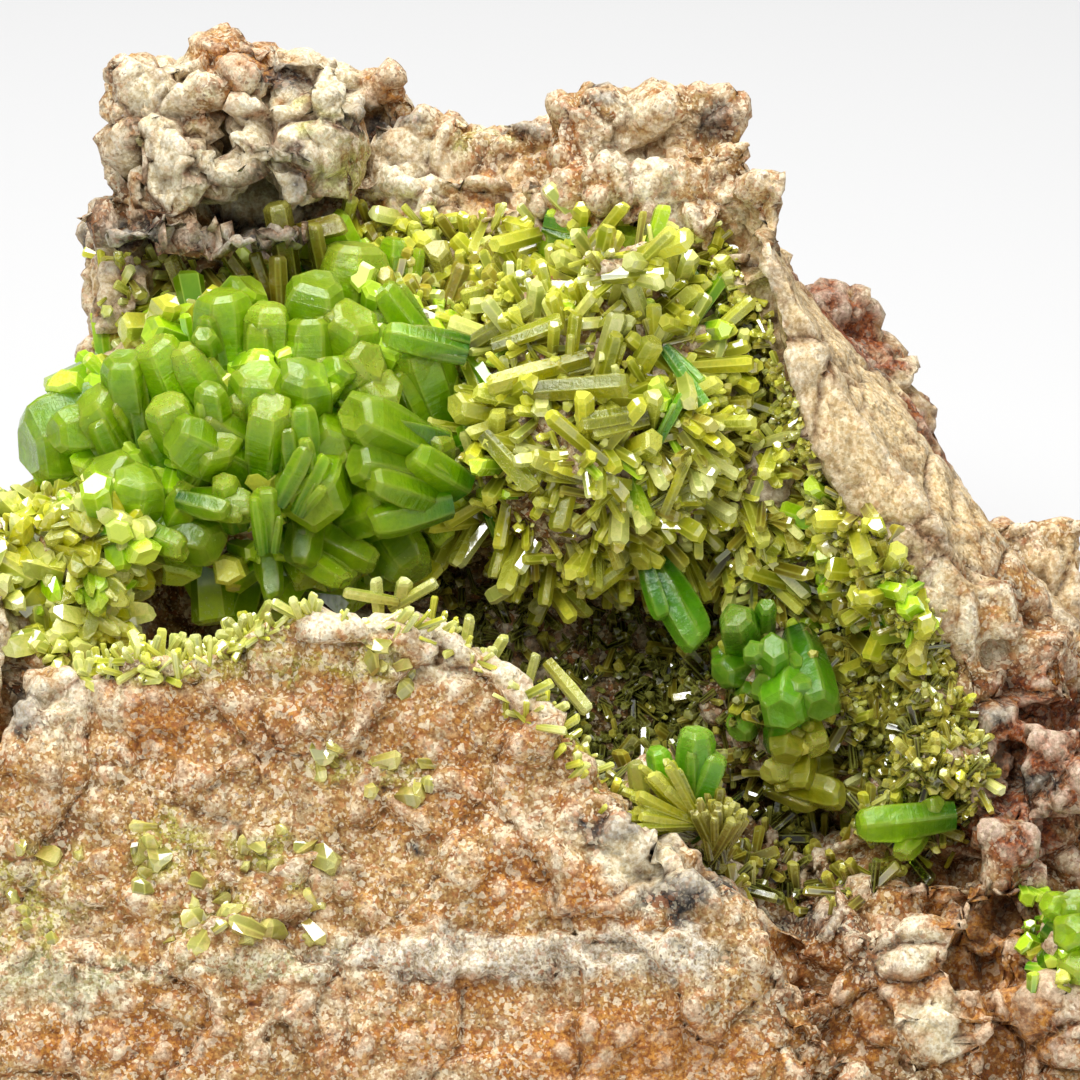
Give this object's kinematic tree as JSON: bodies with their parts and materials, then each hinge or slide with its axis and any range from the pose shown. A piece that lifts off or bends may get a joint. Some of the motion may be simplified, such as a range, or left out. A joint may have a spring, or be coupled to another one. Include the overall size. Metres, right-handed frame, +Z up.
{
  "type": "mineral specimen",
  "caption": "Cabinet specimen of green pyromorphite: stout and needle crystals in an open hollow of a broken tan rock that stands on a flat cut base.",
  "frame": {"origin": "middle of the specimen's box, on the plane of the flat cut base", "axes": "+Z up from the base, -Y towards the open display face, +X to the viewer's right"},
  "size_m": [0.1347, 0.1068, 0.0909],
  "materials": {
    "ironstone_matrix": "matte",
    "lime_pyromorphite": "gloss",
    "yellow_green_pyromorphite": "gloss",
    "olive_pyromorphite": "satin",
    "emerald_pyromorphite": "gloss",
    "pale_pyromorphite": "gloss"
  },
  "bodies": {
    "root": {"matrix": "ironstone_matrix", "stout_crystal_cluster": "lime_pyromorphite", "needle_druse": "yellow_green_pyromorphite", "vug_crust": "olive_pyromorphite", "emerald_crystal_spray": "emerald_pyromorphite", "ledge_crystal_cluster": "emerald_pyromorphite", "peak_foot_crystals": "olive_pyromorphite", "left_shoulder_crystals": "yellow_green_pyromorphite", "rim_spray_left": "pale_pyromorphite", "rim_spray_right": "pale_pyromorphite", "lying_crystal": "emerald_pyromorphite", "side_crystal_cluster": "lime_pyromorphite"}
  },
  "joints": []
}
